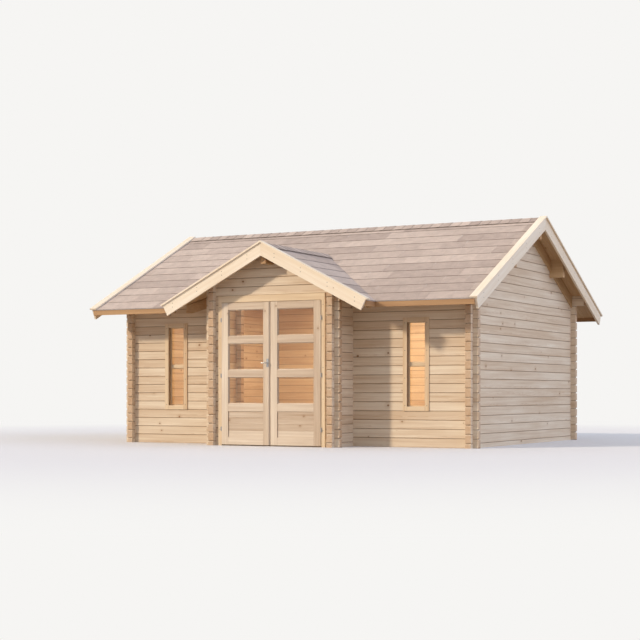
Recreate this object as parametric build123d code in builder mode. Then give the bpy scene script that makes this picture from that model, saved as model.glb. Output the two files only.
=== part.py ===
from build123d import *
import os
from math import cos, radians, sin, tan

# Garden log cabin with a gabled bay and double doors. Millimetres, +X right, +Y to the back, +Z up.
# The origin is on the ground, under the middle of the whole outline.

# Logs and corners
log_pitch = 115.0
log_thickness = 75.0
log_bevel = 7.0
corner_stub = 70.0
end_cut_depth = 18.0
end_cut_height = 12.0
wall_courses = 18

# Plan of the cabin, over the logs' outer faces
cabin_width = 5157.0
cabin_depth = 3889.0
bay_width = 1833.0
bay_projection = 526.0

# Main roof
roof_pitch = 26.0
eave_overhang = 542.0
gable_overhang = 265.0
roof_board_thickness = 20.0
shingle_thickness = 12.0
shingle_lip = 12.0

# Bay roof
bay_pitch = 27.2
bay_eave_overhang = 575.0
bay_gable_overhang = 280.0

# Boards along the gables and eaves
barge_depth = 150.0
barge_thickness = 28.0
cap_width = 100.0
cap_thickness = 20.0
cap_lip = 20.0
rafter_width = 40.0
rafter_depth = 60.0
fascia_height = 70.0
fascia_thickness = 20.0
trim_height = 150.0
trim_thickness = 22.0
board_joint = 1.0

# Beams
ridge_beam_height = 256.0
bay_ridge_beam_height = 230.0
purlin_height = 230.0
purlin_offset = 968.0
valley_rafter_width = 45.0
valley_rafter_depth = 140.0
valley_rafter_setback = 130.0

# Double door
frame_width = 1580.0
frame_face = 49.0
frame_lap = 12.0
frame_proud = 20.0
frame_inset = 10.0
head_course = 17
head_face = 84.0
leaf_thickness = 42.0
leaf_bottom = 15.0
leaf_gap = 6.0
meeting_gap = 8.0
stile_width = 100.0
top_rail = 90.0
glazing_rail = 91.0
lock_rail = 97.0
bottom_rail = 100.0
panel_height = 335.0
panel_boards = 4
panel_thickness = 22.0
panel_bevel = 4.0
pane_count = 3
glass_thickness = 4.0
stop_width = 18.0
stop_depth = 20.0
stop_gap = 5.0
threshold_height = 72.0
cover_strip_width = 34.0
cover_strip_thickness = 12.0
cover_strip_inset = 12.0

# Hinges and handle
hinge_radius = 7.0
hinge_length = 54.0
hinge_clearance = 1.0
hinge_heights = (219.0, 915.0, 1643.0)
knuckle_gap = 0.5
handle_height = 1075.0
handle_plate_width = 30.0
handle_plate_height = 110.0
handle_plate_thickness = 5.0
handle_stem = 45.0
handle_radius = 8.0
lever_length = 80.0

# Windows
window_offset = 1809.0
window_width = 360.0
window_height = 1185.0
window_sill_course = 4
casing_width = 56.0
casing_proud = 12.0
casing_lap = 14.0
lining_proud = 6.0
glass_setback = 58.0
muntin_height = 40.0
muntin_depth = 16.0

# Floor
joist_size = 45.0
joist_count = 7
floor_board_thickness = 26.0
floor_gap = 5.0

# Slopes and heights
slope = tan(radians(roof_pitch))
bay_slope = tan(radians(bay_pitch))
roof_build_up = roof_board_thickness + shingle_thickness
soffit_at_wall = wall_courses * log_pitch
main_skin = roof_build_up / cos(radians(roof_pitch))
bay_skin = roof_build_up / cos(radians(bay_pitch))
top_at_wall = soffit_at_wall + main_skin
eave_top = top_at_wall - slope * eave_overhang
ridge_top = top_at_wall + slope * cabin_depth / 2
bay_eave_x = bay_width / 2 + bay_eave_overhang
bay_ridge_top = eave_top + bay_slope * bay_eave_x
soffit_peak = ridge_top - main_skin
bay_soffit_peak = bay_ridge_top - bay_skin
wall_reach = soffit_at_wall + slope * log_thickness
head_z = head_course * log_pitch

# Places in plan
cap_reach_back = cabin_depth + eave_overhang + cap_lip * cos(radians(roof_pitch))
cap_reach_back += cap_thickness * sin(radians(roof_pitch))
cap_reach_front = bay_projection + bay_gable_overhang + cap_lip
front_y = (cap_reach_front - cap_reach_back) / 2
back_y = front_y + cabin_depth
ridge_y = front_y + cabin_depth / 2
bay_front_y = front_y - bay_projection
half_width = cabin_width / 2
bay_half = bay_width / 2
gable_x = half_width + gable_overhang
barge_inner_x = gable_x - barge_thickness
purlin_end_x = barge_inner_x - rafter_width
bay_gable_y = bay_front_y - bay_gable_overhang
bay_barge_inner_y = bay_gable_y + barge_thickness
bay_beam_front_y = bay_barge_inner_y + rafter_width
bay_beam_back_y = ridge_y - purlin_offset - log_thickness / 2
eave_reach = cabin_depth / 2 + eave_overhang
eave_front_y = ridge_y - eave_reach
valley_apex_y = front_y + (bay_ridge_top - top_at_wall) / slope
valley_lean = (valley_apex_y - eave_front_y) / bay_eave_x
left_gable_x = -half_width
right_gable_x = half_width - log_thickness
bay_left_x = -bay_half
bay_right_x = bay_half - log_thickness
back_wall_y = back_y - log_thickness

finished = []


def keep(part, name):
    part.label = name
    finished.append(part)


def block(x0, x1, y0, y1, z0, z1):
    """Plain block between two corners."""
    with BuildPart() as piece:
        with BuildSketch(Plane.XY.offset(z0)):
            with Locations((x0, y0)):
                Rectangle(x1 - x0, y1 - y0, align=Align.MIN)
        extrude(amount=z1 - z0)
    return piece.part


def stack_outline(thickness, height, joints, bevel):
    """Upright outline of stacked boards, with a V on both faces at every joint."""
    points = [(0, 0)]
    for z in joints:
        points += [(0, z - bevel), (bevel, z), (0, z + bevel)]
    points += [(0, height), (thickness, height)]
    for z in reversed(joints):
        points += [(thickness, z + bevel), (thickness - bevel, z), (thickness, z - bevel)]
    points.append((thickness, 0))
    return points


def joint_heights(first, height):
    """Heights of the joints between logs, with a taller log left at the top."""
    heights = []
    z = first
    while z < height - log_pitch / 2:
        heights.append(z)
        z += log_pitch
    return heights


def stack_along_x(x0, x1, y0, outline):
    """Solid between two X planes from an upright outline whose front face is at y0."""
    with BuildPart() as stack:
        with BuildSketch(Plane(origin=(x0, y0, 0), x_dir=(0, 1, 0), z_dir=(1, 0, 0))):
            with BuildLine():
                Polyline(*outline, close=True)
            make_face()
        extrude(amount=x1 - x0)
    return stack.part


def cuts_along_x(x0, x1, y, joints, depth, half_height):
    """V cuts at the joints between logs, running along X, with their openings at y."""
    with BuildPart() as cuts:
        with BuildSketch(Plane(origin=(x0, 0, 0), x_dir=(0, 1, 0), z_dir=(1, 0, 0))):
            with Locations(*[(y, z) for z in joints]):
                Polygon((-depth, 0), (0, -half_height), (depth, 0), (0, half_height))
        extrude(amount=x1 - x0)
    return cuts.part


def cuts_along_y(x, y0, y1, joints, depth, half_height):
    """The same, running along Y."""
    with BuildPart() as cuts:
        with BuildSketch(Plane(origin=(0, y1, 0), x_dir=(1, 0, 0), z_dir=(0, -1, 0))):
            with Locations(*[(x, z) for z in joints]):
                Polygon((-depth, 0), (0, -half_height), (depth, 0), (0, half_height))
        extrude(amount=y1 - y0)
    return cuts.part


def logs_along_x(x0, x1, y0, height, grooved_face, groove_x0, groove_x1, cut_ends):
    """Wall that starts with a full log, its front face at y0, with V joints on its outer face."""
    joints = joint_heights(log_pitch, height)
    y1 = y0 + log_thickness
    with BuildPart() as wall:
        add(block(x0, x1, y0, y1, 0, height))
        grooves = cuts_along_x(groove_x0, groove_x1, grooved_face, joints, log_bevel, log_bevel)
        add(grooves, mode=Mode.SUBTRACT)
        for x in cut_ends:
            add(cuts_along_y(x, y0, y1, joints, end_cut_depth, end_cut_height), mode=Mode.SUBTRACT)
    return wall.part


def logs_along_y(x0, y0, y1, height, grooved_face, groove_y0, groove_y1, cut_ends):
    """Wall that starts with half a log, its left face at x0, with V joints on its outer face."""
    joints = joint_heights(log_pitch / 2, height)
    x1 = x0 + log_thickness
    with BuildPart() as wall:
        add(block(x0, x1, y0, y1, 0, height))
        grooves = cuts_along_y(grooved_face, groove_y0, groove_y1, joints, log_bevel, log_bevel)
        add(grooves, mode=Mode.SUBTRACT)
        for y in cut_ends:
            add(cuts_along_x(x0, x1, y, joints, end_cut_depth, end_cut_height), mode=Mode.SUBTRACT)
    return wall.part


def notches(x0, y0, first, count):
    """Notches of one corner, half a log high, round each log of the wall that crosses there."""
    middle = first + (count - 1) * log_pitch / 2
    with BuildPart() as cut:
        with BuildSketch(Plane(origin=(x0, y0 + log_thickness, 0), x_dir=(1, 0, 0), z_dir=(0, -1, 0))):
            with Locations((log_thickness / 2, middle)):
                with GridLocations(log_thickness, log_pitch, 1, count):
                    Rectangle(log_thickness, log_pitch / 2)
        extrude(amount=log_thickness)
    return cut.part


def notches_for_y_logs(x0, y0):
    """Cut in a wall along X. The crossing wall's logs are centred on this wall's joints."""
    with BuildPart() as cut:
        add(notches(x0, y0, 0, wall_courses))
        low = soffit_at_wall - log_pitch / 4
        add(block(x0, x0 + log_thickness, y0, y0 + log_thickness, low, ridge_top))
    return cut.part


def notches_for_x_logs(x0, y0, courses):
    """Cut in a wall along Y. The crossing wall's logs are centred on this wall's joints."""
    return notches(x0, y0, log_pitch / 2, courses)


def main_roof_z(distance, drop):
    """Height of the main roof at a distance from its ridge, drop below the shingles' top."""
    return ridge_top - slope * distance - drop / cos(radians(roof_pitch))


def bay_roof_z(distance, drop):
    """Height of the bay roof at a distance from its ridge, drop below the shingles' top."""
    return bay_ridge_top - bay_slope * distance - drop / cos(radians(bay_pitch))


def along_main(points, x0, x1):
    """Solid between two X planes whose outline is given as distances behind the ridge and heights."""
    with BuildPart() as piece:
        with BuildSketch(Plane(origin=(x0, ridge_y, 0), x_dir=(0, 1, 0), z_dir=(1, 0, 0))):
            with BuildLine():
                Polyline(*points, close=True)
            make_face()
        extrude(amount=x1 - x0)
    return piece.part


def along_bay(points, y0, y1):
    """Solid between two Y planes whose outline is given as X and heights."""
    with BuildPart() as piece:
        with BuildSketch(Plane(origin=(0, y1, 0), x_dir=(1, 0, 0), z_dir=(0, -1, 0))):
            with BuildLine():
                Polyline(*points, close=True)
            make_face()
        extrude(amount=y1 - y0)
    return piece.part


def over_slopes(roof_z, reach, drop):
    """Outline of the space over a roof plane."""
    sky = roof_z(0, drop) * 2
    return [
        (0, roof_z(0, drop)),
        (reach, roof_z(reach, drop)),
        (reach, sky),
        (-reach, sky),
        (-reach, roof_z(reach, drop)),
    ]


def slab_outline(roof_z, side, near, far, top_drop, bottom_drop):
    """Outline of one slope's layer, from near to far from the ridge, with plumb ends."""
    return [
        (side * near, roof_z(near, top_drop)),
        (side * far, roof_z(far, top_drop)),
        (side * far, roof_z(far, bottom_drop)),
        (side * near, roof_z(near, bottom_drop)),
    ]


def square_cut_outline(roof_z, pitch, side, near, far, top_drop, bottom_drop):
    """The same, with the lower end cut square to the slope, through the roof's top at far."""
    lean = sin(radians(pitch))
    high = far - lean * top_drop
    low = far - lean * bottom_drop
    return [
        (side * near, roof_z(near, top_drop)),
        (side * high, roof_z(high, top_drop)),
        (side * low, roof_z(low, bottom_drop)),
        (side * near, roof_z(near, bottom_drop)),
    ]


def bay_plan(lip):
    """Upright block over the bay roof's plan: its eaves, then both valleys up to where they meet."""
    eave = bay_eave_x + lip
    corner_y = eave_front_y - valley_lean * lip
    with BuildPart() as plan:
        with BuildSketch():
            with BuildLine():
                Polyline(
                    (-eave, bay_gable_y),
                    (eave, bay_gable_y),
                    (eave, corner_y),
                    (0, valley_apex_y),
                    (-eave, corner_y),
                    close=True,
                )
            make_face()
        extrude(amount=ridge_top)
    return plan.part


over_main = along_main(over_slopes(main_roof_z, eave_reach * 2, roof_build_up), -gable_x * 2, gable_x * 2)
over_bay = along_bay(over_slopes(bay_roof_z, bay_eave_x * 2, roof_build_up), bay_gable_y * 2, back_y)


# Ridge beam and purlins, planed on top to the roof's slopes
def beam_along_x(middle_y, low):
    y0 = middle_y - log_thickness / 2
    with BuildPart() as beam:
        add(block(-purlin_end_x, purlin_end_x, y0, y0 + log_thickness, low, ridge_top))
        add(over_main, mode=Mode.SUBTRACT)
    return beam.part


ridge_beam = beam_along_x(ridge_y, soffit_peak - ridge_beam_height)
keep(ridge_beam, "ridge_beam")
purlin_low = main_roof_z(purlin_offset, roof_build_up) - purlin_height
with BuildPart() as purlins:
    add(beam_along_x(ridge_y - purlin_offset, purlin_low))
    add(beam_along_x(ridge_y + purlin_offset, purlin_low))
keep(purlins.part, "purlins")

beam_half = log_thickness / 2
with BuildPart() as bay_ridge_beam:
    bay_beam_low = bay_soffit_peak - bay_ridge_beam_height
    add(block(-beam_half, beam_half, bay_beam_front_y, bay_beam_back_y, bay_beam_low, bay_ridge_top))
    add(over_bay, mode=Mode.SUBTRACT)
keep(bay_ridge_beam.part, "bay_ridge_beam")


fascia_low = main_roof_z(eave_reach, shingle_thickness) - fascia_height


def valley_rafter(side):
    """Board on edge under one valley, cut level with the fascias at its foot, up to the bay's beam."""
    toward = Vector(-side * bay_eave_x, valley_apex_y - eave_front_y, 0)
    run = toward.length
    with BuildPart() as rafter:
        start = Vector(side * bay_eave_x, eave_front_y, 0)
        with BuildSketch(Plane(origin=start, x_dir=toward, z_dir=toward.cross(Vector(0, 0, 1)))):
            with BuildLine():
                Polyline(
                    (0, eave_top),
                    (run, bay_ridge_top),
                    (run, bay_ridge_top - bay_skin - valley_rafter_depth),
                    (0, eave_top - bay_skin - valley_rafter_depth),
                    close=True,
                )
            make_face()
        extrude(amount=valley_rafter_width / 2, both=True)
        add(over_main, mode=Mode.SUBTRACT)
        add(over_bay, mode=Mode.SUBTRACT)
        add(block(-gable_x, gable_x, bay_gable_y, back_y, 0, fascia_low), mode=Mode.SUBTRACT)
        end_x = bay_eave_x - valley_rafter_setback
        for x in (-gable_x, end_x):
            add(block(x, x + gable_x - end_x, bay_gable_y, front_y, 0, ridge_top), mode=Mode.SUBTRACT)
        add(block(-beam_half, beam_half, bay_gable_y, back_y, 0, ridge_top), mode=Mode.SUBTRACT)
        add(block(-gable_x, gable_x, bay_beam_back_y, back_y, 0, ridge_top), mode=Mode.SUBTRACT)
    return rafter.part


valley_left = valley_rafter(-1)
valley_right = valley_rafter(1)
with BuildPart() as valley_rafters:
    add(valley_left)
    add(valley_right)
keep(valley_rafters.part, "valley_rafters")


def window_hole(x):
    half_hole = window_width / 2 - casing_lap
    low = window_sill_course * log_pitch + casing_lap
    high = window_sill_course * log_pitch + window_height - casing_lap
    return block(x - half_hole, x + half_hole, front_y, front_y + log_thickness, low, high)


def eave_log(x0, x1, y0):
    """The top log, which runs out under the roof to carry its edge."""
    return block(x0, x1, y0, y0 + log_thickness, soffit_at_wall - log_pitch + end_cut_height, wall_reach)


# Main walls along X
stub_end = half_width + corner_stub
inner_end = bay_left_x + log_thickness + corner_stub
with BuildPart() as front_wall_left:
    grooves = (front_y, -half_width, -bay_half)
    add(logs_along_x(-stub_end, inner_end, front_y, wall_reach, *grooves, [-stub_end]))
    add(eave_log(-purlin_end_x, -half_width, front_y))
    add(notches_for_y_logs(left_gable_x, front_y), mode=Mode.SUBTRACT)
    add(notches_for_y_logs(bay_left_x, front_y), mode=Mode.SUBTRACT)
    add(window_hole(-window_offset), mode=Mode.SUBTRACT)
    add(over_main, mode=Mode.SUBTRACT)
    add(valley_left, mode=Mode.SUBTRACT)
keep(front_wall_left.part, "front_wall_left")

with BuildPart() as front_wall_right:
    grooves = (front_y, bay_half, half_width)
    add(logs_along_x(-inner_end, stub_end, front_y, wall_reach, *grooves, [stub_end]))
    add(eave_log(half_width, purlin_end_x, front_y))
    add(notches_for_y_logs(right_gable_x, front_y), mode=Mode.SUBTRACT)
    add(notches_for_y_logs(bay_right_x, front_y), mode=Mode.SUBTRACT)
    add(window_hole(window_offset), mode=Mode.SUBTRACT)
    add(over_main, mode=Mode.SUBTRACT)
    add(valley_right, mode=Mode.SUBTRACT)
keep(front_wall_right.part, "front_wall_right")

with BuildPart() as back_wall:
    grooves = (back_y, -half_width, half_width)
    add(logs_along_x(-stub_end, stub_end, back_wall_y, wall_reach, *grooves, [-stub_end, stub_end]))
    add(eave_log(-purlin_end_x, -half_width, back_wall_y))
    add(eave_log(half_width, purlin_end_x, back_wall_y))
    add(notches_for_y_logs(left_gable_x, back_wall_y), mode=Mode.SUBTRACT)
    add(notches_for_y_logs(right_gable_x, back_wall_y), mode=Mode.SUBTRACT)
    add(over_main, mode=Mode.SUBTRACT)
keep(back_wall.part, "back_wall")


def gable_wall(x0, outer_face):
    """End wall up to the ridge, notched at both corners and round the three beams."""
    y0 = front_y - corner_stub
    y1 = back_y + corner_stub
    with BuildPart() as wall:
        add(logs_along_y(x0, y0, y1, soffit_peak, outer_face, front_y, back_y, [y0, y1]))
        add(notches_for_x_logs(x0, front_y, wall_courses), mode=Mode.SUBTRACT)
        add(notches_for_x_logs(x0, back_wall_y, wall_courses), mode=Mode.SUBTRACT)
        add(over_main, mode=Mode.SUBTRACT)
        add(ridge_beam, mode=Mode.SUBTRACT)
        add(purlins.part, mode=Mode.SUBTRACT)
    return wall.part


keep(gable_wall(left_gable_x, -half_width), "left_gable_wall")
keep(gable_wall(right_gable_x, half_width), "right_gable_wall")


def bay_side_wall(x0, outer_face, rafter):
    """Side of the bay, from a stub before its front to a stub inside the room."""
    y0 = bay_front_y - corner_stub
    y1 = front_y + log_thickness + corner_stub
    height = bay_roof_z(bay_half - log_thickness, 0)
    with BuildPart() as wall:
        add(logs_along_y(x0, y0, y1, height, outer_face, bay_front_y, front_y, [y0]))
        add(notches_for_x_logs(x0, bay_front_y, wall_courses + 1), mode=Mode.SUBTRACT)
        add(notches_for_x_logs(x0, front_y, wall_courses), mode=Mode.SUBTRACT)
        add(over_bay, mode=Mode.SUBTRACT)
        add(rafter, mode=Mode.SUBTRACT)
    return wall.part


keep(bay_side_wall(bay_left_x, -bay_half, valley_left), "bay_left_wall")
keep(bay_side_wall(bay_right_x, bay_half, valley_right), "bay_right_wall")

# Bay front: short logs beside the door, and the gable logs over it
door_half = frame_width / 2
rough_half = door_half - frame_lap
bay_end = bay_half + corner_stub
with BuildPart() as bay_front:
    grooves = (bay_front_y, -bay_half, bay_half)
    add(logs_along_x(-bay_end, bay_end, bay_front_y, bay_soffit_peak, *grooves, [-bay_end, bay_end]))
    for x in (bay_left_x, bay_right_x):
        add(notches(x, bay_front_y, 0, wall_courses + 1), mode=Mode.SUBTRACT)
    add(over_bay, mode=Mode.SUBTRACT)
    add(bay_ridge_beam.part, mode=Mode.SUBTRACT)
with BuildPart() as bay_gable:
    add(bay_front.part)
    add(block(-bay_end, bay_end, bay_gable_y, front_y, 0, head_z), mode=Mode.SUBTRACT)
keep(bay_gable.part, "bay_gable")
for name, x0, x1 in (("bay_front_left", -bay_end, -rough_half), ("bay_front_right", rough_half, bay_end)):
    with BuildPart() as bay_cheek:
        add(bay_front.part)
        add(block(x0, x1, bay_gable_y, front_y, 0, head_z), mode=Mode.INTERSECT)
    keep(bay_cheek.part, name)

# Floor boards with gaps for the log ends, on joists that butt against the back wall
floor_top = joist_size + floor_board_thickness
inner_x = half_width - log_thickness - floor_gap
inner_front_y = front_y + log_thickness + floor_gap
inner_back_y = back_wall_y - floor_gap
bay_inner_x = bay_half - log_thickness - floor_gap
frame_front_y = bay_front_y - frame_proud
leaf_front_y = frame_front_y - hinge_radius - hinge_clearance
leaf_back_y = leaf_front_y + leaf_thickness
stop_front_y = leaf_back_y + stop_gap
frame_back_y = bay_front_y + log_thickness + frame_inset
stub_gap = corner_stub + floor_gap
with BuildPart() as floor_boards:
    add(block(-inner_x, inner_x, inner_front_y, inner_back_y, joist_size, floor_top))
    add(block(-bay_inner_x, bay_inner_x, frame_back_y + floor_gap, inner_front_y, joist_size, floor_top))
    for side in (-1, 1):
        wall_x = side * (bay_half - log_thickness / 2)
        reach_x = log_thickness / 2 + floor_gap
        far_y = inner_front_y + corner_stub
        add(
            block(wall_x - reach_x, wall_x + reach_x, front_y, far_y, joist_size, floor_top),
            mode=Mode.SUBTRACT,
        )
        stub_x = side * (bay_inner_x - stub_gap / 2)
        y0 = front_y - floor_gap
        add(
            block(stub_x - stub_gap / 2, stub_x + stub_gap / 2, y0, inner_front_y, joist_size, floor_top),
            mode=Mode.SUBTRACT,
        )
keep(floor_boards.part, "floor_boards")

joist_spacing = (2 * inner_x - joist_size) / (joist_count - 1)
with BuildPart() as floor_joists:
    for k in range(joist_count):
        x = -inner_x + k * joist_spacing
        y0 = inner_front_y + stub_gap
        if abs(x + joist_size / 2) < bay_inner_x - stub_gap:
            y0 = frame_back_y + floor_gap
        add(block(x, x + joist_size, y0, back_wall_y, 0, joist_size))
keep(floor_joists.part, "floor_joists")

# Roof boards. Front slope and bay slopes meet over the valley rafters.
board_reach = eave_reach - fascia_thickness
bay_board_reach = bay_eave_x - fascia_thickness
with BuildPart() as roof_boards_front:
    outline = slab_outline(main_roof_z, -1, 0, board_reach, shingle_thickness, roof_build_up)
    add(along_main(outline, -barge_inner_x, -board_joint / 2))
    add(along_main(outline, board_joint / 2, barge_inner_x))
    add(bay_plan(0), mode=Mode.SUBTRACT)
keep(roof_boards_front.part, "roof_boards_front")
with BuildPart() as roof_boards_back:
    outline = slab_outline(main_roof_z, 1, 0, board_reach, shingle_thickness, roof_build_up)
    add(along_main(outline, -barge_inner_x, barge_inner_x))
keep(roof_boards_back.part, "roof_boards_back")
near = board_joint / 2
with BuildPart() as bay_roof_boards:
    for side in (-1, 1):
        outline = slab_outline(bay_roof_z, side, near, bay_board_reach, shingle_thickness, roof_build_up)
        add(along_bay(outline, bay_barge_inner_y, valley_apex_y))
    add(bay_plan(0), mode=Mode.INTERSECT)
    add(over_main, mode=Mode.INTERSECT)
keep(bay_roof_boards.part, "bay_roof_boards")


def folded_skin(roof_z, reach):
    """Outline of the shingles over both slopes."""
    return [
        (-reach, roof_z(reach, 0)),
        (0, roof_z(0, 0)),
        (reach, roof_z(reach, 0)),
        (reach, roof_z(reach, shingle_thickness)),
        (0, roof_z(0, shingle_thickness)),
        (-reach, roof_z(reach, shingle_thickness)),
    ]


with BuildPart() as main_shingles:
    outline = folded_skin(main_roof_z, eave_reach + shingle_lip)
    add(along_main(outline, -barge_inner_x, barge_inner_x))
    add(bay_plan(shingle_lip), mode=Mode.SUBTRACT)
keep(main_shingles.part, "main_shingles")
with BuildPart() as bay_shingles:
    outline = folded_skin(bay_roof_z, bay_eave_x + shingle_lip)
    add(along_bay(outline, bay_barge_inner_y, valley_apex_y))
    add(bay_plan(shingle_lip), mode=Mode.INTERSECT)
keep(bay_shingles.part, "bay_shingles")


# Barge boards, their caps and the rafters behind them
def on_both_gables(outline, inner, outer):
    """The same piece at the left and the right gable, between two distances from the middle."""
    with BuildPart() as pair:
        add(along_main(outline, -outer, -inner))
        add(along_main(outline, inner, outer))
    return pair.part


cap_reach = eave_reach + cap_lip * cos(radians(roof_pitch))
rafter_low = roof_build_up + rafter_depth
with BuildPart() as main_barges:
    for side in (-1, 1):
        outline = square_cut_outline(main_roof_z, roof_pitch, side, near, eave_reach, 0, barge_depth)
        add(on_both_gables(outline, barge_inner_x, gable_x))
keep(main_barges.part, "main_barge_boards")
with BuildPart() as main_caps:
    for side in (-1, 1):
        outline = square_cut_outline(main_roof_z, roof_pitch, side, near, cap_reach, -cap_thickness, 0)
        add(on_both_gables(outline, gable_x + cap_lip - cap_width, gable_x + cap_lip))
keep(main_caps.part, "main_barge_caps")
with BuildPart() as main_rafters:
    for side in (-1, 1):
        outline = slab_outline(main_roof_z, side, near, board_reach, roof_build_up, rafter_low)
        add(on_both_gables(outline, purlin_end_x, barge_inner_x))
keep(main_rafters.part, "main_gable_rafters")

bay_cap_reach = bay_eave_x + cap_lip * cos(radians(bay_pitch))
with BuildPart() as bay_barges:
    for side in (-1, 1):
        outline = square_cut_outline(bay_roof_z, bay_pitch, side, near, bay_eave_x, 0, barge_depth)
        add(along_bay(outline, bay_gable_y, bay_barge_inner_y))
keep(bay_barges.part, "bay_barge_boards")
with BuildPart() as bay_caps:
    for side in (-1, 1):
        outline = square_cut_outline(bay_roof_z, bay_pitch, side, near, bay_cap_reach, -cap_thickness, 0)
        add(along_bay(outline, bay_gable_y - cap_lip, bay_gable_y - cap_lip + cap_width))
keep(bay_caps.part, "bay_barge_caps")
with BuildPart() as bay_rafters:
    for side in (-1, 1):
        outline = slab_outline(bay_roof_z, side, near, bay_board_reach, roof_build_up, rafter_low)
        add(along_bay(outline, bay_barge_inner_y, bay_beam_front_y))
keep(bay_rafters.part, "bay_gable_rafters")


def main_fascia(side, x0, x1):
    """Board across the ends of the roof boards, planed on top to the slope."""
    inner_face = eave_reach - fascia_thickness
    return along_main(
        [
            (side * inner_face, main_roof_z(inner_face, shingle_thickness)),
            (side * eave_reach, main_roof_z(eave_reach, shingle_thickness)),
            (side * eave_reach, fascia_low),
            (side * inner_face, fascia_low),
        ],
        x0,
        x1,
    )


with BuildPart() as main_fascias:
    add(main_fascia(-1, -barge_inner_x, -bay_eave_x))
    add(main_fascia(-1, bay_eave_x, barge_inner_x))
    add(main_fascia(1, -barge_inner_x, barge_inner_x))
keep(main_fascias.part, "main_fascias")
with BuildPart() as bay_fascias:
    for side in (-1, 1):
        low = bay_roof_z(bay_eave_x, shingle_thickness) - fascia_height
        outline = [
            (side * bay_board_reach, bay_roof_z(bay_board_reach, shingle_thickness)),
            (side * bay_eave_x, bay_roof_z(bay_eave_x, shingle_thickness)),
            (side * bay_eave_x, low),
            (side * bay_board_reach, low),
        ]
        add(along_bay(outline, bay_barge_inner_y, eave_front_y + fascia_thickness))
keep(bay_fascias.part, "bay_fascias")

# Cover strips where the gable walls meet the roof boards
with BuildPart() as gable_trims:
    for x0 in (-half_width - trim_thickness, half_width):
        for side in (-1, 1):
            reach = cabin_depth / 2 - log_thickness
            outline = slab_outline(
                main_roof_z, side, log_thickness / 2, reach, roof_build_up, roof_build_up + trim_height
            )
            add(along_main(outline, x0, x0 + trim_thickness))
    add(purlins.part, mode=Mode.SUBTRACT)
keep(gable_trims.part, "gable_trims")

# Door frame: two jambs under a head, each with its stop, and the threshold between them
clear_half = door_half - frame_face
clear_top = head_z - head_face
stop_back_y = stop_front_y + stop_depth
for name, side in (("door_jamb_left", -1), ("door_jamb_right", 1)):
    with BuildPart() as jamb:
        with BuildSketch():
            with BuildLine():
                Polyline(
                    (side * door_half, frame_front_y),
                    (side * clear_half, frame_front_y),
                    (side * clear_half, stop_front_y),
                    (side * (clear_half - stop_width), stop_front_y),
                    (side * (clear_half - stop_width), stop_back_y),
                    (side * clear_half, stop_back_y),
                    (side * clear_half, frame_back_y),
                    (side * rough_half, frame_back_y),
                    (side * rough_half, bay_front_y),
                    (side * door_half, bay_front_y),
                    close=True,
                )
            make_face()
        extrude(amount=clear_top)
        threshold_reach = side * (clear_half - stop_width)
        add(
            block(
                min(side * clear_half, threshold_reach), max(side * clear_half, threshold_reach),
                stop_front_y, stop_back_y, 0, threshold_height,
            ),
            mode=Mode.SUBTRACT,
        )
    keep(jamb.part, name)
with BuildPart() as door_head:
    add(block(-rough_half, rough_half, frame_front_y, frame_back_y, clear_top, head_z))
    add(block(-door_half, door_half, frame_front_y, bay_front_y, clear_top, head_z))
    stop_half = clear_half - stop_width
    add(block(-stop_half, stop_half, stop_front_y, stop_back_y, clear_top - stop_width, clear_top))
keep(door_head.part, "door_head")
with BuildPart() as threshold:
    add(block(-clear_half, clear_half, stop_front_y, frame_back_y, 0, threshold_height))
keep(threshold.part, "threshold")

# Door leaves: stiles and rails round three panes over a panel of boards
leaf_outer = clear_half - leaf_gap
leaf_inner = meeting_gap / 2
leaf_top = clear_top - leaf_gap
panel_low = leaf_bottom + bottom_rail
panes_low = panel_low + panel_height + lock_rail
panes_high = leaf_top - top_rail
pane_height = (panes_high - panes_low - (pane_count - 1) * glazing_rail) / pane_count
glass_x0 = leaf_inner + stile_width
glass_x1 = leaf_outer - stile_width
leaf_middle_y = (leaf_front_y + leaf_back_y) / 2
glass_y0 = leaf_middle_y - glass_thickness / 2
strip_x = -leaf_inner - cover_strip_inset
strip_front_y = leaf_front_y - cover_strip_thickness


def pane(x0, x1, number):
    low = panes_low + number * (pane_height + glazing_rail)
    return block(x0, x1, glass_y0, glass_y0 + glass_thickness, low, low + pane_height)


def door_leaf(side):
    """One leaf. side is -1 for the left one, which has the cover strip, and 1 for the right one."""
    x0 = min(side * leaf_inner, side * leaf_outer)
    x1 = max(side * leaf_inner, side * leaf_outer)
    board = panel_height / panel_boards
    joints = [k * board for k in range(1, panel_boards)]
    outline = stack_outline(panel_thickness, panel_height, joints, panel_bevel)
    panel_y0 = leaf_middle_y - panel_thickness / 2
    with BuildPart() as leaf:
        add(block(x0, x1, leaf_front_y, leaf_back_y, leaf_bottom, leaf_top))
        hole_x0 = x0 + stile_width
        hole_x1 = x1 - stile_width
        lows = [panel_low] + [panes_low + k * (pane_height + glazing_rail) for k in range(pane_count)]
        heights = [panel_height] + [pane_height] * pane_count
        for low, height in zip(lows, heights):
            add(
                block(hole_x0, hole_x1, leaf_front_y, leaf_back_y, low, low + height),
                mode=Mode.SUBTRACT,
            )
        boards = stack_along_x(hole_x0, hole_x1, panel_y0, outline)
        add(boards.moved(Location((0, 0, panel_low))))
        if side < 0:
            add(block(
                strip_x - cover_strip_width, strip_x, strip_front_y, leaf_front_y, leaf_bottom, leaf_top,
            ))
    return leaf.part


def door_glass(side):
    x0 = min(side * glass_x0, side * glass_x1)
    x1 = max(side * glass_x0, side * glass_x1)
    with BuildPart() as panes:
        for number in range(pane_count):
            add(pane(x0, x1, number))
    return panes.part


keep(door_leaf(-1), "door_left")
keep(door_leaf(1), "door_right")
keep(door_glass(-1), "door_left_glass")
keep(door_glass(1), "door_right_glass")

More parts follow.
